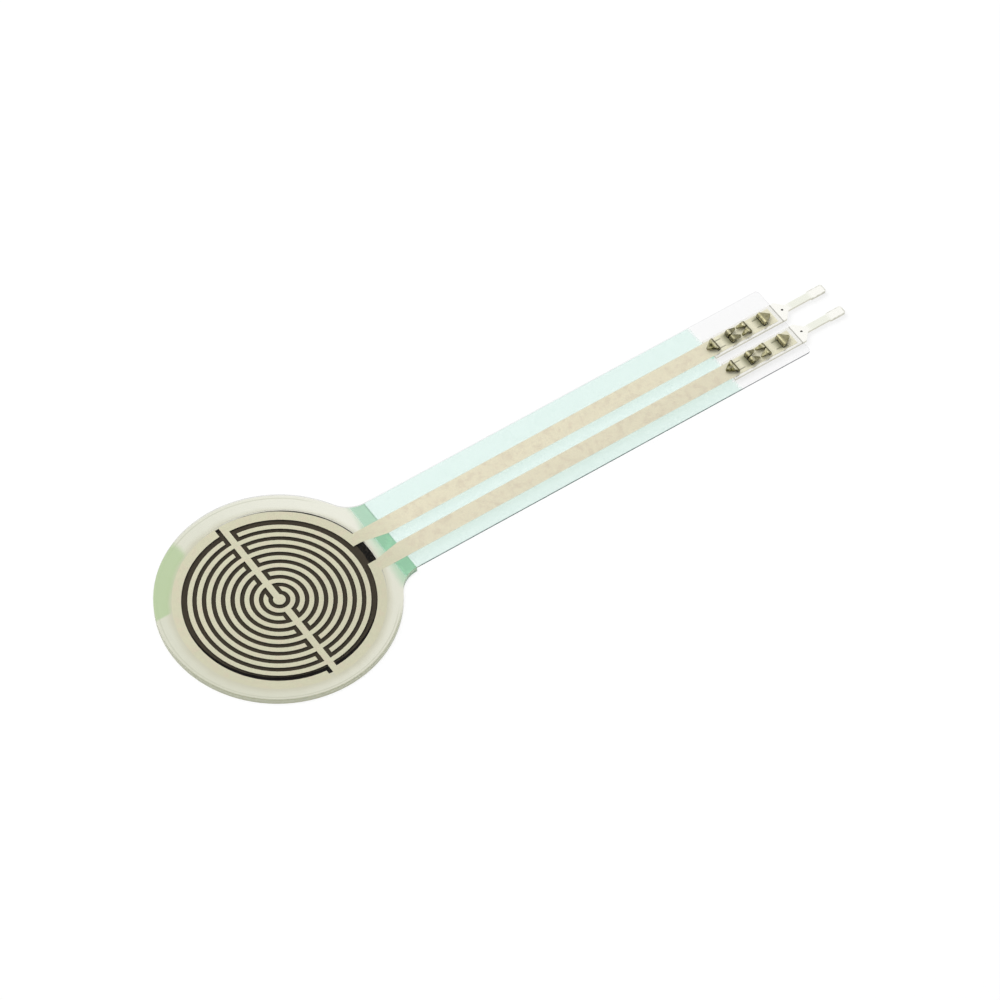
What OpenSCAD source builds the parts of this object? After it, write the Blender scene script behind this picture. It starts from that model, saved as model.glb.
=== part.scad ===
// Round force sensing resistor with a straight film tail and two crimped solder tabs.
// The origin is the centre of the printed rings, on the underside.
// +X runs along the tail, +Y towards trace A, and +Z is the side that is pressed.

/* [Head] */
// Diameter of the active area, inside the outer printed ring
active_d = 14.68; // [12:0.02:30]
// Width of the clear rim outside the outer printed ring
rim_w = 1.3; // [0.9:0.05:4]
// Gap between the active area and the wall of the spacer
cavity_gap = 0.14; // [0.02:0.02:0.4]
// How far the black ink disc reaches past the active area
ink_lap = 0.56; // [0.3:0.02:0.7]
// How far the die cuts sit off the print, along the tail
cut_shift_x = 0.08; // [-0.2:0.02:0.3]
// How far the die cuts sit off the print, across the tail
cut_shift_y = 0.25; // [-0.3:0.05:0.3]
// How far the ink disc sits off the print, along the tail
ink_shift_x = 0.3; // [-0.3:0.01:0.3]
// How far the ink disc sits off the print, across the tail
ink_shift_y = 0.24; // [-0.3:0.01:0.3]
// Width of the air vent cut through the spacer at the neck
vent_w = 0.6; // [0.4:0.1:1.2]

/* [Layers] */
// Thickness of the upper film that carries the electrodes
electrode_film_t = 0.13; // [0.1:0.01:0.3]
// Thickness of the silver print
silver_t = 0.025; // [0.01:0.005:0.04]
// Thickness of the overprint on the tail
dielectric_t = 0.025; // [0.01:0.005:0.04]
// Height of the spacer between the two films
spacer_t = 0.15; // [0.12:0.01:0.4]
// Thickness of the sensing ink
ink_t = 0.025; // [0.01:0.005:0.04]
// Thickness of the lower film that carries the ink
sensing_film_t = 0.13; // [0.1:0.01:0.3]
// Thickness of the adhesive under the lower film
rear_adhesive_t = 0.05; // [0.03:0.01:0.2]
// Thickness of the release liner
liner_t = 0.08; // [0.05:0.01:0.2]

/* [Rings] */
// Diameter of the centre disc
hub_d = 0.95; // [0.7:0.05:1.1]
// Radius of the first finger ring, at the middle of its width
first_finger_r = 1.01; // [0.95:0.01:1.1]
// Number of finger rings
finger_count = 9; // [5:1:11]
// Width of a finger ring
finger_w = 0.366; // [0.3:0.002:0.4]
// Gap between the last finger ring and the outer ring
bus_gap = 0.467; // [0.3:0.001:0.6]
// Width of the outer ring
bus_w = 0.71; // [0.55:0.01:0.8]
// Width of the bars that join the fingers
bar_w = 0.52; // [0.4:0.02:0.7]
// Gap between a bar and the ends of the fingers beside it
end_gap = 0.35; // [0.25:0.01:0.45]
// Width of the opening in the outer ring at the tail
notch_w = 1.96; // [1.4:0.02:2.2]

/* [Tail] */
// Width of the tail
tail_w = 7.15; // [6.6:0.05:9]
// Distance from the centre of the rings to the end of the film
tail_end = 47; // [35:0.5:90]
// Radius of the fillets between the head and the tail
neck_r = 2.35; // [1.5:0.05:3]
// Radius of the corners at the end of the film
corner_r = 0.3; // [0.1:0.05:0.6]
// Width of a silver trace
trace_w = 1.44; // [1.2:0.02:1.6]
// Length over which the traces spread from the ring's opening
trace_taper = 2.2; // [1:0.1:4]
// Bare margin between a trace's end and the end of the film
trace_margin = 0.35; // [0.1:0.05:0.8]
// Gap between the end of the overprint and the tabs
dielectric_gap = 0.1; // [0:0.05:0.5]
// How far the overprint reaches in under the head
dielectric_lap = 1.2; // [0.4:0.02:1.3]

/* [Solder tabs] */
// Distance between the two tabs
tab_pitch = 2.54; // [2.5:0.01:3]
// Thickness of the tab metal
tab_t = 0.2; // [0.15:0.01:0.25]
// Width of the tab under the film
tab_w = 1.85; // [1.7:0.05:2.3]
// Length of the tab behind the innermost tooth
heel_l = 0.5; // [0.3:0.05:2]
// Distance from the end of the film back to the middle of the crimp
crimp_setback = 3.66; // [3.2:0.01:3.8]
// Length of the full-width part past the film
shoulder_l = 0.38; // [0.2:0.02:1]
// Length over which the shoulder narrows to the lead
shoulder_taper = 0.6; // [0.3:0.05:1.2]
// Width of the lead
lead_w = 0.6; // [0.4:0.02:0.8]
// Length of the lead up to its wider tip
lead_l = 2.1; // [1:0.1:12]
// Width of the tip
tip_w = 0.78; // [0.6:0.02:1]
// Length of the tip
tip_l = 1.5; // [0.8:0.1:4]
// Length over which the lead widens to the tip
tip_taper = 0.12; // [0.05:0.01:0.4]
// Diameter of the pinhole in the shoulder
pinhole_d = 0.2; // [0.1:0.02:0.3]
// Distance from the end of the film to the pinhole
pinhole_x = 0.56; // [0.4:0.02:0.7]

/* [Teeth] */
// Length of a window that the teeth are cut from
window_l = 1.13; // [0.8:0.01:1.2]
// Width of a window
window_w = 1.2; // [1.1:0.05:1.3]
// Gap between the tips of two facing horns
horn_tip_gap = 0.14; // [0.1:0.02:0.5]
// Gap between two horns side by side
horn_gap = 0.14; // [0.06:0.02:0.2]
// Width of a pointed tooth at its root
tooth_w = 1.05; // [0.7:0.05:1.1]
// Width of a horn at its root
horn_w = 0.46; // [0.3:0.02:0.5]
// Inner radius of a tooth's curl
curl_r = 0.07; // [0.05:0.01:0.14]
// Height of a tooth above the film before it curls
curl_rise = 0.05; // [0.03:0.01:0.2]
// Angle from the film at which a pointed tooth comes down
tooth_slope = 11.5; // [10:0.5:25]
// Angle from the film at which a horn comes down
horn_slope = 13; // [12:0.5:50]
// Length of the flat where a tooth's tip bears on the film
tip_land = 0.08; // [0.04:0.01:0.14]
// Width of a tooth's tip
tip_point_w = 0.12; // [0.08:0.02:0.2]

/* [Hidden] */
$fn = 96;

// Heights of the layers, from the underside up
rear_adhesive_z = liner_t;
sensing_film_z = rear_adhesive_z + rear_adhesive_t;
spacer_z = sensing_film_z + sensing_film_t;
film_z = spacer_z + spacer_t;
top_z = film_z + electrode_film_t;
silver_z = film_z - silver_t;
dielectric_z = silver_z - dielectric_t;
tab_z = silver_z - tab_t;

// The rings
bus_r = active_d / 2;
bus_mid_r = bus_r + bus_w / 2;
bus_outer_r = bus_r + bus_w;
// Distance from one finger ring to the next, so that they fill the active area
finger_pitch = (bus_r - bus_gap - finger_w / 2 - first_finger_r) / (finger_count - 1);
cavity_d = active_d + 2 * cavity_gap;
ink_d = active_d + 2 * ink_lap;

// The head and the neck
head_r = bus_outer_r + rim_w;
head_d = 2 * head_r;
// Distance from the head's centre to the centre of a neck fillet, along and across the tail
neck_across = tail_w / 2 + neck_r;
neck_along = sqrt(pow(head_r + neck_r, 2) - pow(neck_across, 2));
neck_x = cut_shift_x + neck_along;
dielectric_x = neck_x - dielectric_lap;

// The traces
trace_y = tab_pitch / 2;
trace_out_y = trace_y + trace_w / 2;
trace_in_y = trace_y - trace_w / 2;
trace_start_x = sqrt(pow(bus_mid_r, 2) - pow(trace_out_y, 2));
notch_x = sqrt(pow(bus_outer_r, 2) - pow(notch_w / 2, 2));
trace_end_x = tail_end - trace_margin;

// The teeth: how far one reaches from its root until its underside bears on the film
function tooth_reach(slope) =
    curl_r + curl_r * sin(slope) + (curl_rise + curl_r * cos(slope)) / tan(slope) + tip_land;
curl_outer_r = curl_r + tab_t;
// Places of the risers and the windows, from the middle of the crimp
horn_riser_x = horn_tip_gap / 2 + tooth_reach(horn_slope);
window_x = horn_riser_x + tab_t;
tooth_riser_x = window_x + window_l;

// The tabs
crimp_x = tail_end - crimp_setback;
tab_x = crimp_x - tooth_riser_x - tab_t - heel_l;
shoulder_x = tail_end + shoulder_l;
lead_x = shoulder_x + shoulder_taper;
tip_x = lead_x + lead_l;
dielectric_end_x = tab_x - dielectric_gap;

// How far a cutting shape runs past what it cuts
cut = 1;

// A ring of the given middle radius and width
module ring(mid_r, width) {
    difference() {
        circle(mid_r + width / 2);
        circle(mid_r - width / 2);
    }
}

// One finger ring, opened at the bar that it doesn't join
module open_finger(index) {
    opening = bar_w + 2 * end_gap;
    difference() {
        ring(first_finger_r + (index - 1) * finger_pitch, finger_w);
        translate([-opening / 2, -bus_r]) square([opening, bus_r]);
    }
}

// A quarter of the outer ring, from the bar to the opening at the tail
module bus_quarter() {
    intersection() {
        ring(bus_mid_r, bus_w);
        translate([-bar_w / 2, notch_w / 2]) square([head_d, head_d]);
    }
}

// One bar, from the given radius out to the outer ring
module bar(from_r) {
    translate([-bar_w / 2, from_r]) square([bar_w, bus_mid_r - from_r]);
}

// One trace, from the outer ring to its end near the end of the film
module trace() {
    polygon([
        [trace_start_x, notch_w / 2],
        [notch_x, notch_w / 2],
        [notch_x + trace_taper, trace_in_y],
        [trace_end_x, trace_in_y],
        [trace_end_x, trace_out_y],
        [trace_start_x, trace_out_y]
    ]);
}

// The electrode of trace A, with the centre disc and the even fingers
module electrode_a_shape() {
    difference() {
        union() {
            circle(d = hub_d);
            bar(0);
            bus_quarter();
            trace();
            for (index = [2 : 2 : finger_count]) open_finger(index);
        }
        tooth_slots();
    }
}

// The electrode of trace B, with the odd fingers, drawn on the same side as A
module electrode_b_shape() {
    difference() {
        union() {
            bar(first_finger_r);
            bus_quarter();
            trace();
            for (index = [1 : 2 : finger_count]) open_finger(index);
        }
        tooth_slots();
    }
}

// The half of the outer ring away from the tail
module segment_shape() {
    intersection() {
        ring(bus_mid_r, bus_w);
        translate([-head_d - bar_w / 2 - end_gap, -head_d]) square([head_d, 2 * head_d]);
    }
}

// Outline that the die cuts: the head, the neck fillets and the tail out to end_x
module outline(end_x) {
    translate([cut_shift_x, cut_shift_y]) {
        circle(head_r, $fn = 180);
        translate([0, -tail_w / 2]) square([end_x - cut_shift_x, tail_w]);
        neck_fillet();
        mirror([0, 1]) neck_fillet();
    }
}

// The corner between the head and the tail, filled up to the fillet's arc
module neck_fillet() {
    difference() {
        polygon([[0, 0], [neck_along, 0], [neck_along, neck_across]]);
        translate([neck_along, neck_across]) circle(neck_r);
    }
}

// What is cut off a corner at the end of the film
module corner_cut() {
    translate([tail_end - corner_r, tail_w / 2 - corner_r])
        difference() {
            square([corner_r + cut, corner_r + cut]);
            circle(corner_r);
        }
}

// Draws its children at both ends of what is symmetric along the tail
module both_ends() {
    children();
    mirror([1, 0]) children();
}

// Draws its children on both sides of what is symmetric across the tail
module both_flanks() {
    children();
    mirror([0, 1]) children();
}

// The slots that one tab's teeth pass through, in the film and in the silver
module tooth_slots() {
    translate([crimp_x, trace_y])
        both_ends() {
            translate([tooth_riser_x, -tooth_w / 2]) square([tab_t, tooth_w]);
            both_flanks() translate([horn_riser_x, horn_gap / 2]) square([tab_t, horn_w]);
        }
}

// Side view of a tooth: u runs the way it folds, v up from the tab's underside
module curl_profile(slope) {
    centre_v = top_z + curl_rise - tab_z;
    reach = tooth_reach(slope);
    far = 2 * curl_outer_r;
    difference() {
        union() {
            // the riser
            translate([-tab_t, 0]) square([tab_t, centre_v]);
            // the curl
            intersection() {
                translate([curl_r, centre_v]) circle(curl_outer_r);
                translate([curl_r - far, centre_v]) square([2 * far, far]);
            }
            // the straight part that comes down to the film
            intersection() {
                translate([curl_r, centre_v]) rotate(-slope) translate([0, curl_r]) square([2 * reach, tab_t]);
                translate([-tab_t, top_z - tab_z]) square([reach + tab_t, far + centre_v]);
            }
        }
        // the inside of the curl and the space under the straight part
        translate([curl_r, centre_v]) {
            circle(curl_r);
            rotate(-slope) square([2 * reach, curl_r]);
        }
    }
}

// A tooth from y_low to y_high at its root, narrowing to a tip at tip_y
module tooth(slope, y_low, y_high, tip_y) {
    reach = tooth_reach(slope);
    intersection() {
        translate([0, y_high, 0])
            rotate([90, 0, 0])
                linear_extrude(y_high - y_low) curl_profile(slope);
        linear_extrude(top_z + curl_rise + 2 * curl_outer_r)
            polygon([
                [-tab_t, y_low],
                [curl_r, y_low],
                [reach, tip_y - tip_point_w / 2],
                [reach, tip_y + tip_point_w / 2],
                [curl_r, y_high],
                [-tab_t, y_high]
            ]);
    }
}

// The teeth at one end of the crimp: a pointed one that folds outwards, two horns inwards
module end_teeth() {
    translate([tooth_riser_x + tab_t, 0, 0]) tooth(tooth_slope, -tooth_w / 2, tooth_w / 2, 0);
    both_flanks()
        translate([horn_riser_x, 0, 0])
            mirror([1, 0, 0])
                tooth(horn_slope, horn_gap / 2, horn_gap / 2 + horn_w, horn_gap / 2 + horn_w - tip_point_w);
}

// Flat shape of a tab, along its own middle line
module tab_shape() {
    half_w = tab_w / 2;
    half_lead = lead_w / 2;
    half_tip = tip_w / 2;
    tip_end = tip_x + tip_l;
    difference() {
        polygon([
            [tab_x, -half_w],
            [shoulder_x, -half_w],
            [lead_x, -half_lead],
            [tip_x, -half_lead],
            [tip_x + tip_taper, -half_tip],
            [tip_end - tip_taper, -half_tip],
            [tip_end, -half_tip + tip_taper],
            [tip_end, half_tip - tip_taper],
            [tip_end - tip_taper, half_tip],
            [tip_x + tip_taper, half_tip],
            [tip_x, half_lead],
            [lead_x, half_lead],
            [shoulder_x, half_w],
            [tab_x, half_w]
        ]);
        translate([crimp_x, 0]) both_ends() translate([window_x, -window_w / 2]) square([window_l, window_w]);
        translate([tail_end + pinhole_x, 0]) circle(d = pinhole_d);
    }
}

module solder_tab() {
    translate([0, 0, tab_z]) linear_extrude(tab_t) tab_shape();
    translate([crimp_x, 0, tab_z]) both_ends() end_teeth();
}

module silver_a() {
    translate([0, 0, silver_z]) linear_extrude(silver_t) electrode_a_shape();
}

module silver_b() {
    translate([0, 0, silver_z]) linear_extrude(silver_t) mirror([0, 1]) electrode_b_shape();
}

module silver_segment() {
    translate([0, 0, silver_z]) linear_extrude(silver_t) segment_shape();
}

// Room for the whole print in what lies under the upper film
module print_room() {
    translate([0, 0, silver_z])
        linear_extrude(silver_t + cut) {
            electrode_a_shape();
            mirror([0, 1]) electrode_b_shape();
            segment_shape();
        }
}

module overprint() {
    difference() {
        translate([0, 0, dielectric_z])
            linear_extrude(silver_t + dielectric_t)
                intersection() {
                    outline(dielectric_end_x);
                    translate([dielectric_x, -head_d]) square([tail_end, 2 * head_d]);
                }
        print_room();
    }
}

module release_liner() {
    color("whitesmoke") linear_extrude(liner_t) outline(neck_x);
}

module rear_adhesive() {
    color("ivory") translate([0, 0, rear_adhesive_z]) linear_extrude(rear_adhesive_t) outline(neck_x);
}

module sensing_film() {
    color("honeydew") translate([0, 0, sensing_film_z]) linear_extrude(sensing_film_t) outline(neck_x);
}

module sensing_ink() {
    color([0.2, 0.18, 0.17])
        translate([ink_shift_x, ink_shift_y, spacer_z]) cylinder(h = ink_t, d = ink_d, $fn = 180);
}

module spacer_adhesive() {
    color("beige")
        difference() {
            translate([0, 0, spacer_z]) linear_extrude(spacer_t) outline(neck_x);
            translate([cut_shift_x, cut_shift_y, spacer_z - cut])
                cylinder(h = spacer_t + 2 * cut, d = cavity_d, $fn = 180);
            translate([bus_r, -trace_y - vent_w / 2, spacer_z - cut])
                cube([neck_x, vent_w, spacer_t + 2 * cut]);
            translate([ink_shift_x, ink_shift_y, spacer_z - cut])
                cylinder(h = ink_t + cut, d = ink_d, $fn = 180);
            print_room();
            translate([dielectric_x, -head_d, dielectric_z])
                cube([tail_end, 2 * head_d, dielectric_t + silver_t + cut]);
        }
}

module electrode_a() {
    color([0.86, 0.85, 0.74]) silver_a();
}

module electrode_b() {
    color([0.84, 0.83, 0.72]) silver_b();
}

module electrode_segment() {
    color([0.82, 0.81, 0.7]) silver_segment();
}

module tail_dielectric() {
    color("paleturquoise") overprint();
}

module electrode_film() {
    color("azure", 0.4)
        translate([0, 0, film_z])
            linear_extrude(electrode_film_t)
                difference() {
                    outline(tail_end);
                    translate([0, cut_shift_y]) both_flanks() corner_cut();
                    both_flanks() tooth_slots();
                }
}

module solder_tab_a() {
    color("silver") translate([0, trace_y, 0]) solder_tab();
}

module solder_tab_b() {
    color("silver") translate([0, -trace_y, 0]) solder_tab();
}

release_liner();
rear_adhesive();
sensing_film();
sensing_ink();
spacer_adhesive();
electrode_a();
electrode_b();
electrode_segment();
tail_dielectric();
electrode_film();
solder_tab_a();
solder_tab_b();
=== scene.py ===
"""Round force sensor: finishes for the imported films, prints and solder tabs, and the studio they lie in."""

import math

import bpy
from bpy.props import FloatProperty, FloatVectorProperty, PointerProperty
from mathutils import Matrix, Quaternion, Vector


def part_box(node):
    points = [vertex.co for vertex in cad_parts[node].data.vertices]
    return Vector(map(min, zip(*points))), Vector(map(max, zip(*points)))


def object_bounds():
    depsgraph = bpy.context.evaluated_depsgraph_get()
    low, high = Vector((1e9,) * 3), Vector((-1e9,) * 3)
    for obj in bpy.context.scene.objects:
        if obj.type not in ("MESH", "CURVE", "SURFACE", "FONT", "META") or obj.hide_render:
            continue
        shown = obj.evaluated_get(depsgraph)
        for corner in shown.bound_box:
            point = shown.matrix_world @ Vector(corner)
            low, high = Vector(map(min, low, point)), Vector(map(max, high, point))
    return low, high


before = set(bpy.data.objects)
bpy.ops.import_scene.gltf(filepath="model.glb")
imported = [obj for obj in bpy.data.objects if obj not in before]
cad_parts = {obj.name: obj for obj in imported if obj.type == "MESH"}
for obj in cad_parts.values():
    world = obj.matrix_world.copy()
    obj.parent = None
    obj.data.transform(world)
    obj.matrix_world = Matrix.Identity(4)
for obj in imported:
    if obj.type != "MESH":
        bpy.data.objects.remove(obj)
CAD_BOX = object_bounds()

bl_info = {
    "name": "Round Force Sensor",
    "version": (1, 0, 0),
    "blender": (4, 5, 0),
    "location": "3D View > Sidebar > Force Sensor",
    "description": "Finishes a laminated force sensor and sets it in a white studio",
    "category": "Object",
}

MM = 0.001

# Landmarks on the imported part, in millimetres
FILM_LOW, FILM_HIGH = (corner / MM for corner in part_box("electrode_film"))
COAT_LOW, COAT_HIGH = (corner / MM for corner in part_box("tail_dielectric"))
INK_LOW, INK_HIGH = (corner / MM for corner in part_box("sensing_ink"))
LOWER_FILM_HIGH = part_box("sensing_film")[1] / MM
TAB_LOW, TAB_HIGH = (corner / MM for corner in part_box("solder_tab_a"))

# The lower layers' straight cut, and the circles on the head: its outline, the silver print about the
# origin, the ink, and the air over the ink inside the adhesive
NECK_X = LOWER_FILM_HIGH.x
CUT_CENTRE = (0.08, 0.25)
HEAD_R = CUT_CENTRE[0] - FILM_LOW.x
PRINT_R = 8.05
INK_CENTRE = ((INK_LOW.x + INK_HIGH.x) / 2, (INK_LOW.y + INK_HIGH.y) / 2)
INK_R = (INK_HIGH.x - INK_LOW.x) / 2
AIR_CENTRE = (0.2, 0.38)
AIR_R = 7.38

# The solder tabs: the middle of a crimp, a tab's middle line, its pinhole, its lead and its wider tip
CRIMP_X = FILM_HIGH.x - 3.66
TAB_Y = (TAB_LOW.y + TAB_HIGH.y) / 2
PINHOLE_X = FILM_HIGH.x + 0.56
LEAD_X = FILM_HIGH.x + 1.2
TIP_X = TAB_HIGH.x - 1.45

# Marks of the teeth in the print: where each painted shade starts and peaks along X from the middle of a
# crimp, and where each pair of slits starts and ends, and how far it lies from the tab's middle line
SHADES = ((-1.65, -0.95), (1.35, 2.1))
SLITS = ((-1.95, -1.5, 0.38), (1.6, 2.0, 0.36))

# What the photo's camera looks at, in the plane of the print, and its picture's width, in millimetres
LOOK_AT = (18.907, -1.601, FILM_LOW.z)
PICTURE_WIDTH = 36

# The way from there to the lamp, and the distance in metres from the part down to the floor
LAMP_DIRECTION = (-0.25, 0.55, 0.8)
FLOOR_GAP = 4e-6

# Vertices closer than this, in metres, are joined, and edges bent by more than this stay sharp
WELD_DISTANCE = 1e-7
SHARP_ANGLE = math.radians(35)

# How much of a clear layer's cover is left out for the light that passes through it
LIGHT_PASS = 0.85


def display(red, green, blue):
    """The linear colour of a display colour given in 0 to 255."""
    scaled = (value / 255 for value in (red, green, blue))
    return tuple(v / 12.92 if v <= 0.04045 else ((v + 0.055) / 1.055) ** 2.4 for v in scaled)


def colour_prop(name, description, *rgb):
    """A colour setting with a display colour as its default."""
    return FloatVectorProperty(
        name=name, description=description, subtype="COLOR", size=3, min=0, max=1, default=display(*rgb)
    )


def share_prop(name, description, default):
    """A setting from 0 to 1."""
    return FloatProperty(
        name=name, description=description, subtype="FACTOR", min=0, max=1, default=default
    )


def length_prop(name, description, default):
    """A length setting, with its default in metres."""
    return FloatProperty(
        name=name, description=description, unit="LENGTH", min=0, precision=6, default=default
    )


def angle_prop(name, description, degrees):
    """An angle setting, with its default in degrees."""
    return FloatProperty(
        name=name, description=description, subtype="ANGLE", default=math.radians(degrees)
    )


class FilmSettings(bpy.types.PropertyGroup):
    """The clear films, their adhesives and the liner."""

    clear_colour: colour_prop("Film", "Tint of the upper film's face", 60, 58, 72)
    clear_share: share_prop("Film cover", "How much the upper film hides of what lies below", 0.06)
    film_shine: share_prop("Film shine", "Strength of the upper film's reflection", 0.12)
    edge_colour: colour_prop("Film edge", "Cut edges of all layers round the head", 174, 177, 150)
    tail_edge_colour: colour_prop("Tail edge", "The upper film's cut edge along the tail", 16, 56, 60)
    end_edge_colour: colour_prop("End edge", "The upper film's cut edge beside the tabs", 104, 104, 112)
    neck_edge_colour: colour_prop("Neck edge", "The lower layers' cut edges at the neck", 116, 158, 126)
    edge_share: share_prop("Edge cover", "How much a cut edge hides", 0.75)
    tail_edge_share: share_prop("Tail edge cover", "How much the tail's cut edge hides", 0.95)
    far_edge_share: share_prop("Far edge cover", "How much a cut edge hides when seen from inside", 0.25)
    lower_colour: colour_prop("Lower film", "Colour of the lower film over its adhesive", 228, 227, 214)
    lower_share: share_prop("Lower film cover", "How much the lower film hides of what lies below", 0.85)
    rim_colour: colour_prop("Rim", "Spacer adhesive on the rim, away from the tail", 221, 222, 203)
    # painted light on the rim towards the tail, and painted shade on the rim close to the print
    lit_rim_colour: colour_prop("Rim by the tail", "Spacer adhesive on the rim, by the tail", 242, 242, 228)
    shaded_rim_colour: colour_prop("Rim by the print", "Spacer adhesive close to the silver", 208, 206, 182)
    # painted shade along the head's cut edge
    trim_shade_colour: colour_prop("Rim by the cut", "Spacer adhesive close to the cut edge", 186, 188, 162)
    glue_share: share_prop("Spacer cover", "How much the spacer adhesive on the rim hides", 0.94)
    bloom_colour: colour_prop("Green bloom", "Tint of the pale green patch on the rim", 178, 204, 150)
    fade_colour: colour_prop("Green fade", "Tint of the adhesive beside the overprint", 152, 208, 168)
    bloom_share: share_prop("Bloom strength", "How strong the pale green patch is", 0.8)
    fade_share: share_prop("Fade strength", "How strong the green beside the overprint is", 0.65)
    rear_colour: colour_prop("Rear adhesive", "Tint of the rear adhesive", 228, 227, 214)
    liner_colour: colour_prop("Liner", "Colour of the liner paper", 228, 226, 212)
    clearance: length_prop("Clearance", "How far each piece's faces stand back from its neighbours'", 5e-7)


class PrintSettings(bpy.types.PropertyGroup):
    """The silver print and the black ink."""

    silver_colour: colour_prop("Silver", "Colour of the silver print on the head", 212, 210, 181)
    trace_colour: colour_prop("Silver on the tail", "Colour of the silver print on the tail", 234, 227, 200)
    pad_colour: colour_prop("Silver at the tabs", "Colour of the silver between the teeth", 242, 238, 210)
    # painted shade on the silver where the teeth lift it
    shade_colour: colour_prop("Bulge shade", "Colour of the silver where the teeth lift it", 104, 106, 60)
    blush_colour: colour_prop("Silver blush", "Pinkish tone of the mottling", 216, 203, 180)
    slit_colour: colour_prop("Slits", "Colour of the creases beside the teeth", 92, 92, 64)
    ink_colour: colour_prop("Ink", "Colour of the ink under the air gap", 66, 60, 48)
    wet_ink_colour: colour_prop("Wetted ink", "Colour of the ink where the adhesive wets it", 14, 11, 5)
    mesh_pitch: length_prop("Screen pitch", "Distance between the threads of the printing screen", 0.00012)


class CoatSettings(bpy.types.PropertyGroup):
    """The aqua overprint on the tail."""

    coat_colour: colour_prop("Overprint", "Colour of the overprint", 211, 250, 238)
    coat_share: share_prop("Overprint cover", "How much of what lies below the overprint hides", 0.5)
    neck_colour: colour_prop("Overprint at the neck", "Tone where the adhesive wets it", 150, 212, 172)
    upper_neck_colour: colour_prop("Upper side at the neck", "Paler tone beside trace A", 180, 220, 194)
    neck_share: share_prop("Cover at the neck", "How much the wetted overprint hides", 0.85)
    remnant_colour: colour_prop("Green remnant", "Colour of the green spot between the tabs", 140, 216, 186)
    margin_colour: colour_prop("Neck margin", "Colour of the wetted overprint by the cut", 112, 150, 130)
    # painted shade on the overprint beside trace B
    low_shade_colour: colour_prop("Lower overprint", "Tone of the overprint beside trace B", 196, 236, 220)
    edge_colour: colour_prop("Overprint edge", "Colour of the overprint's edge", 120, 190, 170)


class TabSettings(bpy.types.PropertyGroup):
    """The tinned solder tabs."""

    tin_colour: colour_prop("Tin", "Colour of the tin plating", 245, 244, 238)
    # painted dark reflection and shade of the bent teeth, and painted highlights on their crests
    shaded_tooth_colour: colour_prop("Worked tin", "Dull colour of the bent teeth", 104, 100, 62)
    pale_tooth_colour: colour_prop("Pale worked tin", "Tone of the horns and the far teeth", 176, 170, 130)
    crest_highlight_colour: colour_prop("Crest", "Colour of the worn crests of the teeth", 214, 209, 178)
    sheared_colour: colour_prop("Sheared edge", "Colour of the tabs' cut edges", 214, 212, 198)
    darkest_shade_colour: colour_prop("Stain", "Darkest tone of the bent teeth", 44, 42, 24)
    lead_colour: colour_prop("Lead", "Greyer tone of the leads", 234, 235, 224)
    # painted shade along the tips' edges, painted shadow under the film's end, and painted shade inside the
    # pinhole
    tip_shade_colour: colour_prop("Outline", "Tone along the edges of the tips", 196, 195, 182)
    line_colour: colour_prop("Line", "Colour of the line under the film's end", 150, 149, 138)
    hole_shade_colour: colour_prop("Pinhole", "Colour inside the pinhole", 34, 32, 22)


class StageSettings(bpy.types.PropertyGroup):
    """The floor, the camera and the lamps."""

    floor_colour: colour_prop("Floor", "Colour of the floor", 160, 160, 160)
    floor_glow: share_prop("Floor glow", "Light that the floor gives off", 0.67)
    floor_side: length_prop("Floor side", "Length of a side of the floor", 3.0)
    sky_strength: FloatProperty(name="Sky", description="Strength of the even light", min=0, default=0.66)
    lamp_power: FloatProperty(
        name="Lamp", description="Power of the large lamp", unit="POWER", min=0, default=1.0
    )
    lamp_side: length_prop("Lamp side", "Length of a side of the large lamp", 0.35)
    lamp_distance: length_prop("Lamp distance", "Distance from the sensor to the large lamp", 0.5)
    lens: FloatProperty(
        name="Lens", description="Focal length of the camera", unit="CAMERA", min=1, default=193.8
    )
    azimuth: angle_prop("Azimuth", "The camera's direction round the sensor, from straight in front", -36.18)
    elevation: angle_prop("Elevation", "The camera's direction above the floor", 54.07)
    roll: angle_prop("Roll", "How far the camera is turned about its line of sight", 2.0)
    distance: length_prop("Distance", "Distance from the camera to what it looks at", 0.40788)


# Building nodes


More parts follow.
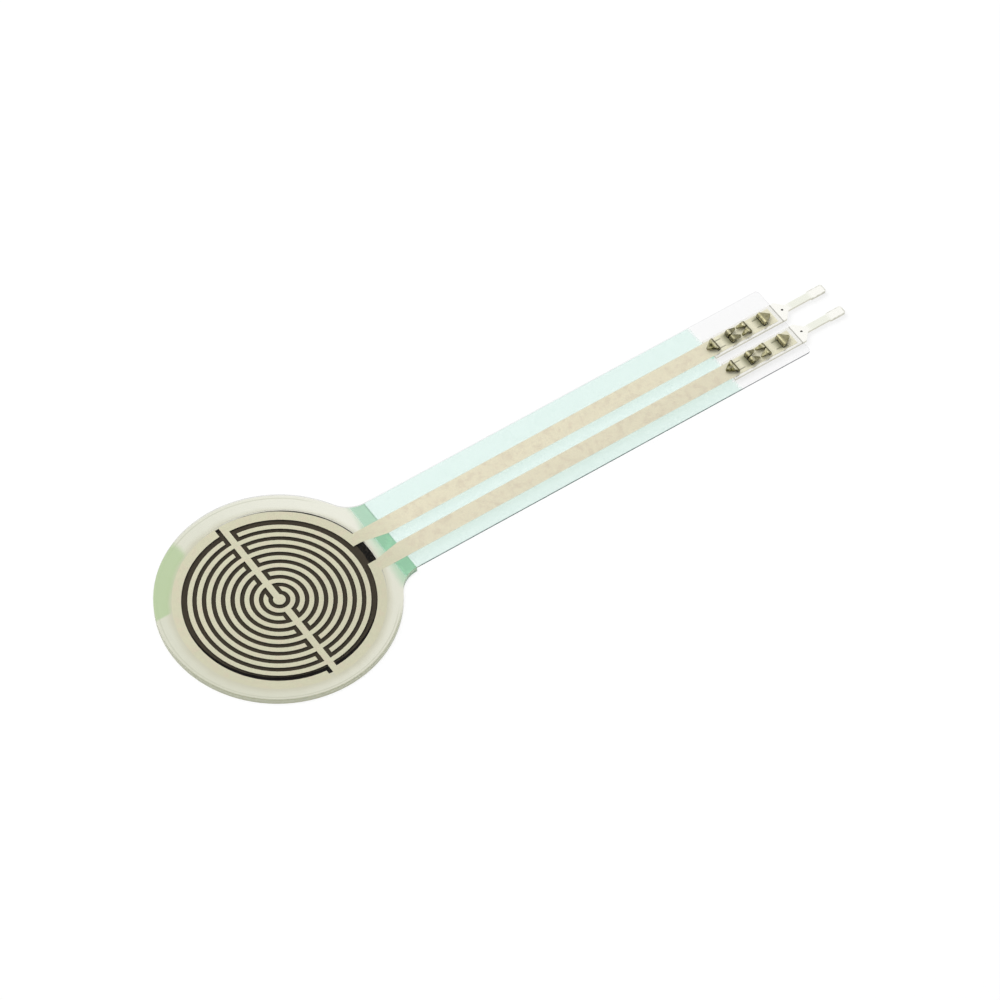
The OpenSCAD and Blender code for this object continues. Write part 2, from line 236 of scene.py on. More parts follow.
class Wiring:
    """A short way to add and join nodes in one tree."""

    def __init__(self, tree):
        self.tree = tree
        self.column = 0

    def add(self, kind, inputs=(), **settings):
        """A node with the given settings and inputs, each input a value or another node's output."""
        node = self.tree.nodes.new(kind)
        node.location = (220 * self.column, 0)
        self.column += 1
        for name, value in settings.items():
            setattr(node, name, value)
        for key, value in dict(inputs).items():
            self.put(value, node.inputs[key])
        return node

    def put(self, value, socket):
        """A link to the socket if the value is an output, and otherwise the socket's own value."""
        if isinstance(value, bpy.types.NodeSocket):
            self.tree.links.new(value, socket)
        elif isinstance(value, (tuple, list)) and socket.type == "RGBA" and len(value) == 3:
            socket.default_value = (*value, 1)
        else:
            socket.default_value = value

    def math(self, operation, a, b=0.0, c=0.0, clamp=False):
        """The result of one Math node."""
        node = self.add("ShaderNodeMath", {0: a, 1: b, 2: c}, operation=operation, use_clamp=clamp)
        return node.outputs[0]

    def times(self, first, *others):
        """The product of all the values."""
        product = first
        for value in others:
            product = self.math("MULTIPLY", product, value)
        return product

    def away(self, value, centre):
        """How far a value lies from a centre, either way."""
        return self.math("ABSOLUTE", self.math("SUBTRACT", value, centre))

    def scale(self, vector, factor):
        """A vector or a colour times a value."""
        return self.add("ShaderNodeVectorMath", {0: vector, "Scale": factor}, operation="SCALE").outputs[0]

    def mix(self, factor, a, b):
        """A blend of two colours."""
        node = self.add("ShaderNodeMix", data_type="RGBA")
        for socket, value in ((node.inputs["Factor"], factor), (node.inputs[6], a), (node.inputs[7], b)):
            self.put(value, socket)
        return node.outputs[2]

    def ramp(self, value, start, end, low=0.0, high=1.0):
        """A smooth step from low at start to high at end."""
        node = self.add(
            "ShaderNodeMapRange",
            {"Value": value, "From Min": start, "From Max": end, "To Min": low, "To Max": high},
            interpolation_type="SMOOTHSTEP",
        )
        return node.outputs[0]

    def span(self, value, start, risen, falling, end):
        """A smooth hill: 0 before start, 1 from risen to falling, and 0 after end."""
        return self.times(self.ramp(value, start, risen), self.ramp(value, falling, end, 1.0, 0.0))

    def group(self, tree, **inputs):
        """A node group placed with its own values. Spaces in a socket's name are underscores here."""
        node = self.add("ShaderNodeGroup")
        node.node_tree = tree
        for name, value in inputs.items():
            self.put(value, node.inputs[name.replace("_", " ")])
        return node


def new_group(name, inputs, outputs):
    """A shader node group of values: its wiring, the sockets of its inputs and those of its outputs."""
    tree = bpy.data.node_groups.new(name, "ShaderNodeTree")
    for label, default in inputs.items():
        socket = tree.interface.new_socket(label, in_out="INPUT", socket_type="NodeSocketFloat")
        socket.default_value = default
    for label in outputs:
        tree.interface.new_socket(label, in_out="OUTPUT", socket_type="NodeSocketFloat")
    wiring = Wiring(tree)
    return wiring, wiring.add("NodeGroupInput").outputs, wiring.add("NodeGroupOutput").inputs


def place_group():
    """Where a point lies on the part, in millimetres."""
    w, _, out = new_group("Place", {}, ["X", "Y", "Z"])
    scaled = w.scale(w.add("ShaderNodeTexCoord").outputs["Object"], 1 / MM)
    split = w.add("ShaderNodeSeparateXYZ", {0: scaled})
    for axis in "XYZ":
        w.put(split.outputs[axis], out[axis])
    return w.tree


def cut_edge_group():
    """Where the surface is a cut edge, and not a flat face: its normal leans far from upright."""
    w, _, out = new_group("Cut Edge", {}, ["Edge"])
    normal = w.add("ShaderNodeTexCoord").outputs["Normal"]
    rise = w.math("ABSOLUTE", w.add("ShaderNodeSeparateXYZ", {0: normal}).outputs["Z"])
    w.put(w.ramp(rise, 0.35, 0.75, 1.0, 0.0), out["Edge"])
    return w.tree


def mottle_group():
    """Soft blotches and fine grain, each about 0.5, with their sizes in millimetres."""
    inputs = {"Blotch Size": 1.0, "Grain Size": 0.1, "Seed": 0.0}
    w, in_, out = new_group("Mottle", inputs, ["Blotch", "Grain"])
    scaled = w.scale(w.add("ShaderNodeTexCoord").outputs["Object"], 1 / MM)
    for label, detail in (("Blotch", 3.0), ("Grain", 1.0)):
        scale = w.math("DIVIDE", 1.0, in_[label + " Size"])
        noise = w.add(
            "ShaderNodeTexNoise",
            {"Vector": scaled, "W": in_["Seed"], "Scale": scale, "Detail": detail},
            noise_dimensions="4D",
        )
        w.put(noise.outputs["Fac"], out[label])
    return w.tree


def screen_group():
    """The height left by the threads of a printing screen, from 0 to 1."""
    w, in_, out = new_group("Screen Print", {"Pitch": 0.12}, ["Height"])
    place = w.group(shared(place_group)).outputs
    turn = w.math("DIVIDE", 2 * math.pi, in_["Pitch"])
    threads = [w.math("SINE", w.times(place[axis], turn)) for axis in "XY"]
    w.put(w.math("MULTIPLY_ADD", w.times(*threads), 0.5, 0.5), out["Height"])
    return w.tree


def crimp_group():
    """Marks of the teeth in the print: painted shade before the horns and the far teeth, and thin slits."""
    w, _, out = new_group("Crimp Shade", {}, ["Shade", "Slits"])
    place = w.group(shared(place_group)).outputs
    x = place["X"]
    aside = w.away(w.math("ABSOLUTE", place["Y"]), TAB_Y)
    shades = []
    for start, peak in SHADES:
        peak_x = CRIMP_X + peak
        shades.append(w.span(x, CRIMP_X + start, peak_x, peak_x + 0.35, peak_x + 0.6))
    w.put(w.times(w.math("MAXIMUM", *shades), w.ramp(aside, 0.4, 0.75, 0.8, 0.0)), out["Shade"])
    slits = []
    for start, end, offset in SLITS:
        along = w.span(x, CRIMP_X + start - 0.05, CRIMP_X + start, CRIMP_X + end, CRIMP_X + end + 0.1)
        slits.append(w.times(along, w.ramp(w.away(aside, offset), 0.02, 0.07, 0.7, 0.0)))
    w.put(w.math("MAXIMUM", *slits), out["Slits"])
    return w.tree


def reach_group():
    """How far a point lies from an upright axis, in millimetres, and in which direction, in turns."""
    w, in_, out = new_group("Reach", {"Centre X": 0.0, "Centre Y": 0.0}, ["Radius", "Turn"])
    place = w.group(shared(place_group)).outputs
    x, y = (w.math("SUBTRACT", place[axis], in_["Centre " + axis]) for axis in "XY")
    squares = w.math("MULTIPLY_ADD", x, x, w.times(y, y))
    w.put(w.math("SQRT", squares), out["Radius"])
    w.put(w.math("DIVIDE", w.math("ARCTAN2", y, x), 2 * math.pi), out["Turn"])
    return w.tree


def shared(make):
    """The node group that make builds, built once in a file."""
    for tree in bpy.data.node_groups:
        if tree.get("made_by") == make.__name__:
            return tree
    tree = make()
    tree["made_by"] = make.__name__
    return tree


class Finish:
    """A new material with one Principled shader, and its wiring."""

    def __init__(self, name):
        self.material = bpy.data.materials.new(name)
        self.material.use_nodes = True
        tree = self.material.node_tree
        self.shader = next(n for n in tree.nodes if n.type == "BSDF_PRINCIPLED")
        self.w = Wiring(tree)

    def group(self, make, **inputs):
        """The outputs of a shared node group placed with its own values."""
        return self.w.group(shared(make), **inputs).outputs

    def set(self, **values):
        """Values or outputs for the shader's sockets. Spaces in a socket's name are underscores here."""
        for name, value in values.items():
            self.w.put(value, self.shader.inputs[name.replace("_", " ")])
        return self

    def bump(self, height, distance, strength=1.0):
        """A bump from a height of 0 to 1 that stands for a distance in metres."""
        node = self.w.add("ShaderNodeBump", {"Height": height, "Distance": distance, "Strength": strength})
        return self.set(Normal=node.outputs[0])

    def see_through(self, face, edge, far_edge, edge_mask):
        """Alpha for a clear layer: the faces turned to the eye hide a little, and its cut edges more."""
        w = self.w
        back = w.add("ShaderNodeNewGeometry").outputs["Backfacing"]
        faces = w.times(w.math("SUBTRACT", 1.0, back), face)
        edges = w.math("MULTIPLY_ADD", back, w.math("SUBTRACT", far_edge, edge), edge)
        blend = w.math("MULTIPLY_ADD", w.math("SUBTRACT", edges, faces), edge_mask, faces)
        path = w.add("ShaderNodeLightPath").outputs
        lighting = w.math("MAXIMUM", path["Is Shadow Ray"], path["Is Diffuse Ray"])
        return self.set(Alpha=w.times(blend, w.math("MULTIPLY_ADD", lighting, -LIGHT_PASS, 1.0)))


def layer_tree(name, clearance):
    """Geometry nodes that weld a piece, keep its corners sharp and stand its faces back a little."""
    tree = bpy.data.node_groups.new(name, "GeometryNodeTree")
    tree.is_modifier = True
    tree.interface.new_socket("Geometry", in_out="INPUT", socket_type="NodeSocketGeometry")
    tree.interface.new_socket("Geometry", in_out="OUTPUT", socket_type="NodeSocketGeometry")
    w = Wiring(tree)
    start = w.add("NodeGroupInput").outputs[0]
    welded = w.add("GeometryNodeMergeByDistance", {"Geometry": start, "Distance": WELD_DISTANCE}).outputs[0]
    angle = w.add("GeometryNodeInputMeshEdgeAngle").outputs["Unsigned Angle"]
    sharp = w.add("FunctionNodeCompare", {"A": angle, "B": SHARP_ANGLE}, operation="GREATER_THAN")
    shaded = w.add("GeometryNodeSetMeshNormal", {"Mesh": welded, "Remove Custom": True})
    w.put(sharp.outputs[0], shaded.inputs["Edge Sharpness"])
    normal = w.add("GeometryNodeInputNormal").outputs["Normal"]
    placing = {"Geometry": shaded.outputs[0], "Offset": w.scale(normal, -clearance)}
    w.put(w.add("GeometryNodeSetPosition", placing).outputs[0], w.add("NodeGroupOutput").inputs[0])
    return tree


def dress(node_name, finish):
    """Gives a CAD node its material, and stands its faces back from its neighbours'."""
    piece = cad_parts[node_name]
    piece.data.materials.clear()
    piece.data.materials.append(finish.material)
    name = "Layer Clearance"
    modifier = piece.modifiers.get(name) or piece.modifiers.new(name, "NODES")
    modifier.node_group = bpy.data.node_groups.get(name) or layer_tree(name, settings().film.clearance)


class SensorSettings(bpy.types.PropertyGroup):
    """All the settings of the sensor's looks."""

    film: PointerProperty(name="Films", description="The films and adhesives", type=FilmSettings)
    ink: PointerProperty(name="Prints", description="The silver and the ink", type=PrintSettings)
    coat: PointerProperty(name="Overprint", description="The tail's overprint", type=CoatSettings)
    tab: PointerProperty(name="Tabs", description="The solder tabs", type=TabSettings)
    stage: PointerProperty(name="Studio", description="Floor, light and camera", type=StageSettings)


def settings():
    """The scene's settings for the sensor's looks."""
    return bpy.context.scene.force_sensor


# Finishes


def layer_edges(f):
    """The colour of the layers' cut edges: olive round the head, and green at the neck."""
    s = settings().film
    at_neck = f.w.ramp(f.group(place_group)["X"], COAT_LOW.x - 0.9, COAT_LOW.x)
    return f.w.mix(at_neck, s.edge_colour[:], s.neck_edge_colour[:])


def clear_film_finish():
    """The upper film: clear and glossy, with darker cut edges."""
    s = settings().film
    f = Finish("Clear Film")
    w = f.w
    edge = f.group(cut_edge_group)["Edge"]
    mottle = f.group(mottle_group, Blotch_Size=6.0, Grain_Size=0.25, Seed=1.0)
    x = f.group(place_group)["X"]
    edges = w.mix(w.ramp(x, NECK_X - 1.0, NECK_X + 1.0), s.edge_colour[:], s.tail_edge_colour[:])
    edges = w.mix(w.ramp(x, COAT_HIGH.x - 0.1, COAT_HIGH.x + 0.3), edges, s.end_edge_colour[:])
    f.set(
        Base_Color=w.mix(edge, s.clear_colour[:], edges),
        Roughness=w.ramp(mottle["Blotch"], 0.3, 0.7, 0.16, 0.28),
        IOR=1.5,
        Specular_IOR_Level=s.film_shine,
    )
    near_edge = w.ramp(x, NECK_X - 0.5, NECK_X + 0.5, s.edge_share, s.tail_edge_share)
    far_edge = w.ramp(x, NECK_X - 0.5, NECK_X + 1.0, s.far_edge_share, s.far_edge_share * 0.3)
    f.see_through(s.clear_share, near_edge, far_edge, edge)
    return f.bump(mottle["Grain"], 0.4e-6, 0.4)


def lower_film_finish():
    """The lower film: clear, and faintly milky."""
    s = settings().film
    f = Finish("Lower Film")
    edge = f.group(cut_edge_group)["Edge"]
    mottle = f.group(mottle_group, Blotch_Size=4.0, Grain_Size=0.2, Seed=2.0)
    f.set(
        Base_Color=f.w.mix(edge, s.lower_colour[:], layer_edges(f)),
        Roughness=f.w.ramp(mottle["Blotch"], 0.3, 0.7, 0.2, 0.35),
    )
    return f.see_through(s.lower_share, s.edge_share, s.far_edge_share, edge)


def spacer_finish():
    """The spacer adhesive: clear over the ink, and milky on the rim, with green tints in places."""
    s = settings().film
    f = Finish("Spacer Adhesive")
    w = f.w
    place = f.group(place_group)
    x, y = place["X"], place["Y"]
    mottle = f.group(mottle_group, Blotch_Size=1.6, Grain_Size=0.15, Seed=3.0)
    drift = w.math("SUBTRACT", mottle["Blotch"], 0.5)
    print_reach = f.group(reach_group)
    from_print = print_reach["Radius"]
    from_ink = f.group(reach_group, Centre_X=INK_CENTRE[0], Centre_Y=INK_CENTRE[1])["Radius"]
    from_cut = f.group(reach_group, Centre_X=CUT_CENTRE[0], Centre_Y=CUT_CENTRE[1])["Radius"]

    # the rim: painted shade close to the print, lightening further out, less so in front, and painted light
    # towards the tail
    front = w.ramp(y, -4.5, 3.0, 1.0, 0.0)
    outwards = w.math("MULTIPLY_ADD", drift, 0.5, from_print)
    rim_light = w.ramp(outwards, PRINT_R - 0.1, PRINT_R + 0.65)
    rim_light = w.times(rim_light, w.math("MULTIPLY_ADD", front, -0.3, 1.0))
    pale = w.mix(w.ramp(x, -9.0, 9.0), s.rim_colour[:], s.lit_rim_colour[:])
    rim = w.mix(rim_light, s.shaded_rim_colour[:], pale)

    # two painted shade lines by the cut, which end before the neck: a broad one in front and a fine one all
    # round
    broad_shade = w.times(w.ramp(from_cut, HEAD_R - 0.2, HEAD_R - 0.04), front)
    fine_shade = w.ramp(w.away(from_cut, HEAD_R - 0.28), 0.02, 0.07, 0.4, 0.0)
    cut_shade = w.times(w.math("MAXIMUM", broad_shade, fine_shade), w.ramp(x, 6.2, 7.4, 1.0, 0.0))
    rim = w.mix(cut_shade, rim, s.trim_shade_colour[:])

    # green: a patch on the rim, and a fade beside the overprint
    patch = w.times(
        w.ramp(w.math("MULTIPLY_ADD", drift, 0.05, print_reach["Turn"]), 0.31, 0.33),
        w.ramp(x, -4.0, -3.2, 1.0, 0.0),
        w.ramp(y, 3.3, 3.55),
        w.ramp(outwards, PRINT_R - 0.2, PRINT_R + 0.35),
        s.bloom_share,
    )
    low_shift = w.ramp(y, -3.0, -1.8, 0.12, 0.0)
    high_shift = w.ramp(y, 1.8, 3.0, 0.0, -0.35)
    shifted = w.math("ADD", w.math("MULTIPLY_ADD", drift, 0.9, x), w.math("ADD", low_shift, high_shift))
    fade = w.times(w.ramp(shifted, COAT_LOW.x - 0.85, COAT_LOW.x + 0.15), s.fade_share)
    face = w.mix(fade, w.mix(patch, rim, s.bloom_colour[:]), s.fade_colour[:])

    # only the outer walls are cut edges: those beside the prints look like the faces
    at_rim = w.ramp(from_cut, HEAD_R - 0.06, HEAD_R - 0.03)
    at_neck = w.ramp(x, NECK_X - 0.04, NECK_X - 0.02)
    off_coat = w.ramp(w.away(x, COAT_LOW.x), 0.02, 0.05)
    edge = w.times(f.group(cut_edge_group)["Edge"], w.math("MAXIMUM", at_rim, at_neck), off_coat)

    # the cover: hardly any over the ink, most on the rim, and a full one along the silver's outline
    cover = w.ramp(from_ink, INK_R + 0.01, INK_R + 0.06, 0.01, s.glue_share)
    margin = w.times(
        w.ramp(w.math("MULTIPLY_ADD", drift, 0.12, from_print), PRINT_R + 0.03, PRINT_R + 0.07, 0.97, 0.0),
        w.ramp(w.math("ABSOLUTE", y), 1.2, 1.4),
        w.ramp(from_print, PRINT_R - 0.1, PRINT_R - 0.05),
    )
    f.set(Base_Color=w.mix(edge, face, layer_edges(f)), Roughness=0.4)
    return f.see_through(w.math("MAXIMUM", cover, margin), s.edge_share, s.far_edge_share, edge)


def rear_adhesive_finish():
    """The rear adhesive: pale, and backed by the liner."""
    s = settings().film
    f = Finish("Rear Adhesive")
    mottle = f.group(mottle_group, Blotch_Size=2.5, Grain_Size=0.2, Seed=4.0)
    edge = f.group(cut_edge_group)["Edge"]
    f.set(
        Base_Color=f.w.mix(edge, s.rear_colour[:], layer_edges(f)),
        Roughness=f.w.ramp(mottle["Grain"], 0.3, 0.7, 0.35, 0.5),
    )
    return f.see_through(0.85, 0.9, 0.6, edge)


def liner_finish():
    """The liner: smooth coated paper with faint fibres."""
    s = settings().film
    f = Finish("Liner Paper")
    w = f.w
    mottle = f.group(mottle_group, Blotch_Size=2.0, Grain_Size=0.08, Seed=5.0)
    shade = w.ramp(mottle["Blotch"], 0.25, 0.75)
    darker = tuple(value * 0.93 for value in s.liner_colour)
    paper = w.mix(shade, darker, s.liner_colour[:])
    f.set(Base_Color=w.mix(f.group(cut_edge_group)["Edge"], paper, layer_edges(f)), Roughness=0.55)
    return f.bump(mottle["Grain"], 2e-6, 0.5)


def silver_finish():
    """The silver print: matt beige grey, mottled, with the screen's weave in it."""
    s = settings().ink
    f = Finish("Silver Print")
    w = f.w
    place = f.group(place_group)
    x = place["X"]
    mottle = f.group(mottle_group, Blotch_Size=0.55, Grain_Size=0.09, Seed=6.0)
    screen = f.group(screen_group, Pitch=s.mesh_pitch / MM)
    marks = f.group(crimp_group)
    tail = w.mix(w.ramp(x, 7.0, 13.0), s.silver_colour[:], s.trace_colour[:])
    pads = w.mix(w.ramp(x, CRIMP_X - 3.4, CRIMP_X - 2.4), tail, s.pad_colour[:])
    base = w.mix(marks["Slits"], w.mix(marks["Shade"], pads, s.shade_colour[:]), s.slit_colour[:])
    blush = w.times(
        w.ramp(mottle["Blotch"], 0.45, 0.7),
        w.ramp(x, CRIMP_X - 4, CRIMP_X - 3, 0.5, 0.1),
    )
    grain = w.ramp(mottle["Grain"], 0.2, 0.8, 0.93, 1.05)
    tone = w.times(grain, w.ramp(place["Y"], -0.5, 0.5, 0.96, 1.0))
    f.set(
        Base_Color=w.scale(w.mix(blush, base, s.blush_colour[:]), tone),
        Metallic=0.15,
        Roughness=w.ramp(mottle["Grain"], 0.2, 0.8, 0.42, 0.6),
    )
    return f.bump(screen["Height"], 1.2e-6, 0.6)


def ink_finish():
    """The black ink: grey under the air, and near black where the adhesive wets it."""
    s = settings().ink
    f = Finish("Sensing Ink")
    w = f.w
    radius = f.group(reach_group, Centre_X=AIR_CENTRE[0], Centre_Y=AIR_CENTRE[1])["Radius"]
    mottle = f.group(mottle_group, Blotch_Size=0.8, Grain_Size=0.07, Seed=7.0)
    screen = f.group(screen_group, Pitch=s.mesh_pitch / MM)
    wander = w.math("MULTIPLY_ADD", w.math("SUBTRACT", mottle["Blotch"], 0.5), 0.1, radius)
    base = w.mix(w.ramp(wander, AIR_R - 0.05, AIR_R + 0.04), s.ink_colour[:], s.wet_ink_colour[:])
    f.set(
        Base_Color=w.scale(base, w.ramp(mottle["Grain"], 0.2, 0.8, 0.85, 1.15)),
        Roughness=w.ramp(mottle["Blotch"], 0.3, 0.7, 0.55, 0.75),
        Specular_IOR_Level=0.05,
    )
    return f.bump(screen["Height"], 1.5e-6, 0.6)


def overprint_finish():
    """The overprint: pale translucent aqua, and greener where the spacer adhesive wets it."""
    s = settings().coat
    f = Finish("Aqua Overprint")
    w = f.w
    place = f.group(place_group)
    x, y = place["X"], place["Y"]
    edge = f.group(cut_edge_group)["Edge"]
    mottle = f.group(mottle_group, Blotch_Size=3.0, Grain_Size=0.2, Seed=8.0)
    clouds = f.group(mottle_group, Blotch_Size=0.6, Grain_Size=0.1, Seed=11.0)["Blotch"]
    speckle = w.math("SUBTRACT", mottle["Grain"], 0.5)

    # the neck: cloudy green, paler beside trace A, and darker by the cut
    at_neck = w.ramp(x, NECK_X, NECK_X + 0.03, 1.0, 0.0)
    frayed = w.math("MULTIPLY_ADD", speckle, 0.25, x)
    wet = w.times(w.ramp(frayed, COAT_LOW.x - 0.1, COAT_LOW.x + 0.2), at_neck)
    deep = tuple(value * 0.88 for value in s.neck_colour)
    green = w.mix(w.ramp(clouds, 0.4, 0.6), deep, s.neck_colour[:])
    green = w.mix(w.ramp(y, 1.2, 2.0), green, s.upper_neck_colour[:])
    margin = w.times(w.ramp(x, NECK_X - 0.16, NECK_X - 0.02, 0.0, 0.45), w.ramp(y, -1.0, 1.5, 0.4, 1.0))
    green = w.mix(margin, green, s.margin_colour[:])

    # the tail: aqua with painted shade along the margin beside trace B, ending raggedly, with a green spot
    # between the tabs
    aqua = w.mix(w.ramp(y, -2.1, -1.6, 0.5, 0.0), s.coat_colour[:], s.low_shade_colour[:])
    ragged = w.math("MULTIPLY_ADD", speckle, 0.7, x)
    end = w.ramp(ragged, COAT_HIGH.x - 0.35, COAT_HIGH.x + 0.15, 1.0, 0.1)
    from_spot = f.group(reach_group, Centre_X=COAT_HIGH.x - 0.15, Centre_Y=0.55)["Radius"]
    spot = w.ramp(w.math("MULTIPLY_ADD", speckle, 0.3, from_spot), 0.12, 0.3, 0.75, 0.0)
    face = w.mix(spot, w.mix(wet, aqua, green), s.remnant_colour[:])
    f.set(
        Base_Color=w.mix(edge, face, s.edge_colour[:]),
        Roughness=w.ramp(mottle["Blotch"], 0.3, 0.7, 0.25, 0.4),
    )
    dry = w.times(w.math("SUBTRACT", 1.0, at_neck), s.coat_share, end)
    cover = w.math("MAXIMUM", w.math("MULTIPLY_ADD", wet, s.neck_share, dry), spot)
    return f.see_through(cover, 0.08, 0.04, edge)


def tin_finish():
    """The solder tabs: bright tin, with a painted dark reflection and shade on the bent teeth and painted
    highlights on their crests.
    """
    s = settings().tab
    f = Finish("Tinned Metal")
    w = f.w
    place = f.group(place_group)
    x, z = place["X"], place["Z"]
    aside = w.away(w.math("ABSOLUTE", place["Y"]), TAB_Y)
    edge = f.group(cut_edge_group)["Edge"]
    mottle = f.group(mottle_group, Blotch_Size=0.28, Grain_Size=0.06, Seed=9.0)
    shade_mottle = f.group(mottle_group, Blotch_Size=0.2, Grain_Size=0.4, Seed=10.0)

    # the teeth: a painted dark reflection and shade, mottled, paler towards the film's end, with broken
    # painted highlights on the crests
    above = w.ramp(z, FILM_HIGH.z - 0.02, FILM_HIGH.z + 0.05)
    height = w.math("MULTIPLY_ADD", w.math("SUBTRACT", mottle["Blotch"], 0.5), 0.09, z)
    # painted highlight along the crests, weaker on the far teeth
    crest = w.times(
        w.ramp(height, TAB_HIGH.z - 0.02, TAB_HIGH.z),
        w.ramp(x, CRIMP_X + 1.2, CRIMP_X + 1.6, 0.6, 0.2),
    )
    # painted glints scattered over the teeth
    glinting = w.ramp(mottle["Blotch"], 0.42, 0.6, 0.25, 0.0)
    bright = w.math("MAXIMUM", crest, glinting)
    tooth = w.mix(w.ramp(shade_mottle["Blotch"], 0.42, 0.6), s.darkest_shade_colour[:], s.shaded_tooth_colour[:])
    at_horns = w.ramp(x, CRIMP_X - 1.3, CRIMP_X - 1.0, 0.0, 0.22)
    at_far_teeth = w.ramp(x, CRIMP_X + 1.3, CRIMP_X + 1.7, 0.0, 0.3)
    tooth = w.mix(w.math("ADD", at_horns, at_far_teeth), tooth, s.pale_tooth_colour[:])
    tooth = w.mix(bright, tooth, s.crest_highlight_colour[:])

    # the flat parts: greyer leads, painted shade along the tips' edges, a painted shadow under the film's end
    # and painted shade inside the pinhole
    on_lead = w.span(x, LEAD_X - 0.2, LEAD_X + 0.3, TIP_X - 0.2, TIP_X + 0.3)
    at_rim = w.math("MAXIMUM", w.ramp(x, TAB_HIGH.x - 0.12, TAB_HIGH.x - 0.04), w.ramp(aside, 0.3, 0.37))
    tip_shade = w.times(at_rim, w.ramp(x, TIP_X, TIP_X + 0.1), w.ramp(shade_mottle["Grain"], 0.35, 0.6, 0.15, 0.9))
    # painted shadow of the film's end on the tab
    film_end_shadow = w.ramp(w.away(x, FILM_HIGH.x), 0.02, 0.06, 0.7, 0.0)
    # painted shade on the pinhole's walls
    hole = w.times(
        w.ramp(w.away(x, PINHOLE_X), 0.12, 0.16, 1.0, 0.0),
        w.ramp(aside, 0.12, 0.16, 1.0, 0.0),
        edge,
    )
    flat = w.mix(edge, w.mix(on_lead, s.tin_colour[:], s.lead_colour[:]), s.sheared_colour[:])
    flat = w.mix(tip_shade, flat, s.tip_shade_colour[:])
    flat = w.mix(hole, w.mix(film_end_shadow, flat, s.line_colour[:]), s.hole_shade_colour[:])

    dull = w.times(above, w.math("SUBTRACT", 1.0, bright))
    f.set(
        Base_Color=w.mix(above, flat, tooth),
        Metallic=1.0,
        Roughness=w.math("MULTIPLY_ADD", dull, 0.2, w.ramp(mottle["Grain"], 0.2, 0.8, 0.2, 0.34)),
    )
    return f.bump(mottle["Grain"], 2e-6, 0.6)


# Operators


class SENSOR_OT_films(bpy.types.Operator):
    """Finish the two films, their adhesives and the liner"""

    bl_idname = "sensor.films"
    bl_label = "Films and Adhesives"

    def execute(self, context):
        dress("electrode_film", clear_film_finish())
        dress("sensing_film", lower_film_finish())
        dress("spacer_adhesive", spacer_finish())
        dress("rear_adhesive", rear_adhesive_finish())
        dress("release_liner", liner_finish())
        return {"FINISHED"}


class SENSOR_OT_print(bpy.types.Operator):
    """Finish the silver print and the black ink"""

    bl_idname = "sensor.print"
    bl_label = "Silver and Ink"

    def execute(self, context):
        silver = silver_finish()
        for node_name in ("electrode_a", "electrode_b", "electrode_segment"):
            dress(node_name, silver)
        dress("sensing_ink", ink_finish())
        return {"FINISHED"}


class SENSOR_OT_overprint(bpy.types.Operator):
    """Finish the aqua overprint on the tail"""

    bl_idname = "sensor.overprint"
    bl_label = "Tail Overprint"

    def execute(self, context):
        dress("tail_dielectric", overprint_finish())
        return {"FINISHED"}


class SENSOR_OT_tabs(bpy.types.Operator):
    """Finish the two solder tabs"""

    bl_idname = "sensor.tabs"
    bl_label = "Solder Tabs"

    def execute(self, context):
        tin = tin_finish()
        for node_name in ("solder_tab_a", "solder_tab_b"):
            dress(node_name, tin)
        return {"FINISHED"}


class SENSOR_OT_stage(bpy.types.Operator):
    """Lay the white floor, light it and set up the camera"""

    bl_idname = "sensor.stage"
    bl_label = "White Studio"

    def execute(self, context):
        s = settings().stage
        scene = context.scene
        scene.view_settings.view_transform = "Standard"
        scene.cycles.transparent_max_bounces = 32
        scene.world = white_world(s)
        target = Vector(LOOK_AT) * MM
        scene.collection.objects.link(floor_plane(s, target))
        scene.collection.objects.link(large_lamp(s, target))
        scene.camera = photo_camera(s, target)
        scene.collection.objects.link(scene.camera)
        return {"FINISHED"}


def white_world(s):
    """An even white sky, a little darker near the horizon, and plain white where it is seen."""
    world = bpy.data.worlds.new("White Studio")
    world.use_nodes = True
    w = Wiring(world.node_tree)
    background = next(n for n in world.node_tree.nodes if n.type == "BACKGROUND")
    w.put((1, 1, 1, 1), background.inputs["Color"])
    path = w.add("ShaderNodeLightPath").outputs
    direction = w.add("ShaderNodeTexCoord").outputs["Generated"]
    height = w.add("ShaderNodeSeparateXYZ", {0: direction}).outputs["Z"]
    lighting = w.ramp(height, 0.05, 0.75, s.sky_strength * 0.55, s.sky_strength * 1.2)
    mirrored = w.ramp(height, 0.1, 0.7, 0.3, 1.05)
    strength = lighting
    for ray, value in (("Is Glossy Ray", mirrored), ("Is Camera Ray", 1.0)):
        blend = w.add("ShaderNodeMix", {0: path[ray], 2: strength, 3: value}, data_type="FLOAT")
        strength = blend.outputs[0]
    w.put(strength, background.inputs["Strength"])
    return world


def floor_plane(s, target):
    """A white floor just under the part, lit like a light table and clear when seen from below."""
    half = s.floor_side / 2
    below = CAD_BOX[0].z - FLOOR_GAP
    signs = ((-1, -1), (1, -1), (1, 1), (-1, 1))
    corners = [(target.x + x * half, target.y + y * half, below) for x, y in signs]
    mesh = bpy.data.meshes.new("studio_floor")
    mesh.from_pydata(corners, [], [(0, 1, 2, 3)])
    f = Finish("Studio Floor")
    f.set(Base_Color=s.floor_colour[:], Roughness=0.9, Specular_IOR_Level=0.0)
    f.set(Emission_Color=(1, 1, 1), Emission_Strength=s.floor_glow)
    back = f.w.add("ShaderNodeNewGeometry").outputs["Backfacing"]
    f.set(Alpha=f.w.math("SUBTRACT", 1.0, back))
    mesh.materials.append(f.material)
    floor = bpy.data.objects.new("studio_floor", mesh)
    return floor


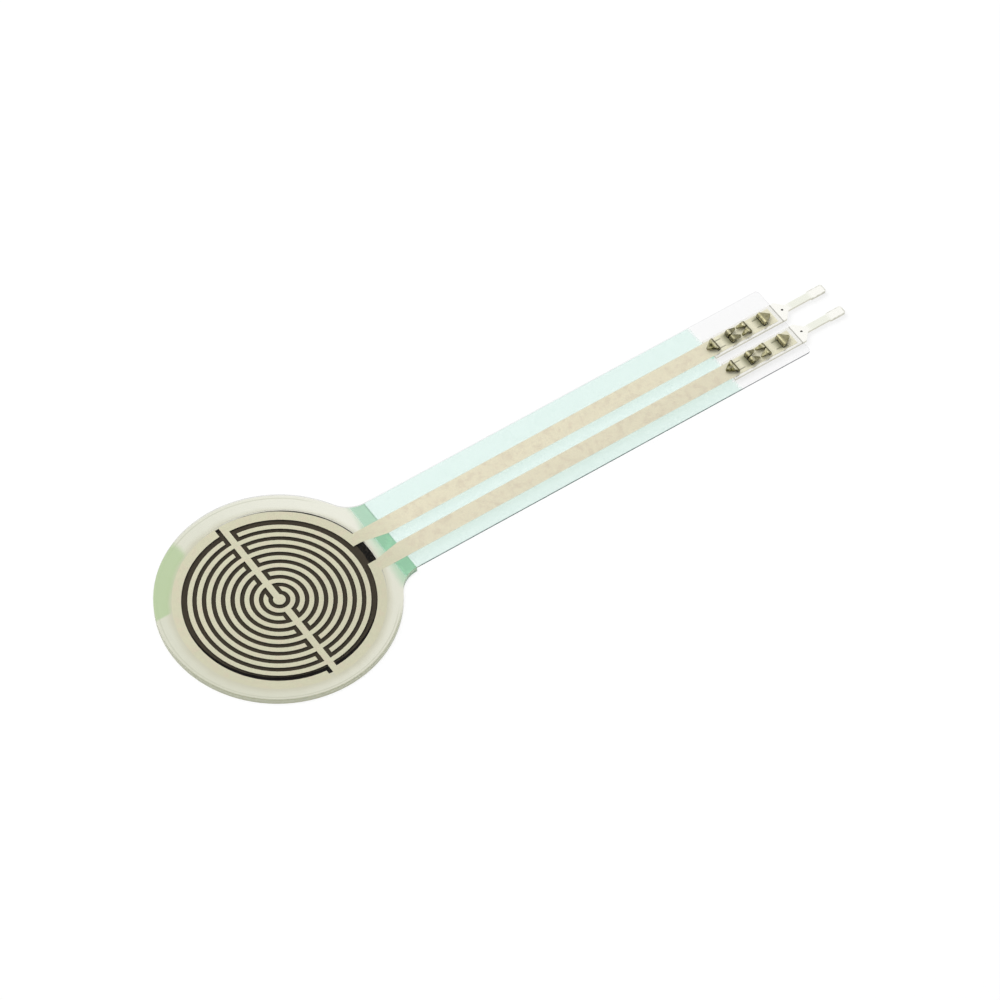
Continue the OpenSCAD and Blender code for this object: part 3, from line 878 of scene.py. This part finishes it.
def large_lamp(s, target):
    """A large soft lamp, high behind the tail and to the left in the picture."""
    data = bpy.data.lights.new("softbox", "AREA")
    data.shape = "SQUARE"
    data.size = s.lamp_side
    data.energy = s.lamp_power
    lamp = bpy.data.objects.new("softbox", data)
    towards = Vector(LAMP_DIRECTION).normalized()
    lamp.location = target + towards * s.lamp_distance
    lamp.rotation_mode = "QUATERNION"
    lamp.rotation_quaternion = towards.to_track_quat("Z", "Y")
    return lamp


def photo_camera(s, target):
    """The camera of the photograph."""
    data = bpy.data.cameras.new("photo_camera")
    data.lens = s.lens
    data.sensor_width = PICTURE_WIDTH
    data.clip_start, data.clip_end = 0.01, 10
    flat = math.cos(s.elevation)
    back = Vector((math.sin(s.azimuth) * flat, -math.cos(s.azimuth) * flat, math.sin(s.elevation)))
    camera = bpy.data.objects.new("photo_camera", data)
    camera.location = target + back * s.distance
    camera.rotation_mode = "QUATERNION"
    camera.rotation_quaternion = back.to_track_quat("Z", "Y") @ Quaternion((0, 0, 1), s.roll)
    return camera


class SENSOR_PT_panel(bpy.types.Panel):
    """The sensor's pieces and settings in the sidebar"""

    bl_idname = "SENSOR_PT_panel"
    bl_label = "Force Sensor"
    bl_space_type = "VIEW_3D"
    bl_region_type = "UI"
    bl_category = "Force Sensor"

    def draw(self, context):
        parts = (
            (SENSOR_OT_films, settings().film),
            (SENSOR_OT_print, settings().ink),
            (SENSOR_OT_overprint, settings().coat),
            (SENSOR_OT_tabs, settings().tab),
            (SENSOR_OT_stage, settings().stage),
        )
        for operator, group in parts:
            box = self.layout.box()
            box.operator(operator.bl_idname)
            for name in group.__annotations__:
                box.prop(group, name)


CLASSES = (
    FilmSettings,
    PrintSettings,
    CoatSettings,
    TabSettings,
    StageSettings,
    SensorSettings,
    SENSOR_OT_films,
    SENSOR_OT_print,
    SENSOR_OT_overprint,
    SENSOR_OT_tabs,
    SENSOR_OT_stage,
    SENSOR_PT_panel,
)


def register():
    for cls in CLASSES:
        bpy.utils.register_class(cls)
    bpy.types.Scene.force_sensor = PointerProperty(
        name="Force Sensor", description="Looks of the force sensor", type=SensorSettings
    )


def unregister():
    del bpy.types.Scene.force_sensor
    for cls in reversed(CLASSES):
        bpy.utils.unregister_class(cls)


def main():
    register()
    bpy.ops.sensor.films()
    bpy.ops.sensor.print()
    bpy.ops.sensor.overprint()
    bpy.ops.sensor.tabs()
    bpy.ops.sensor.stage()


if __name__ == "__main__":
    main()
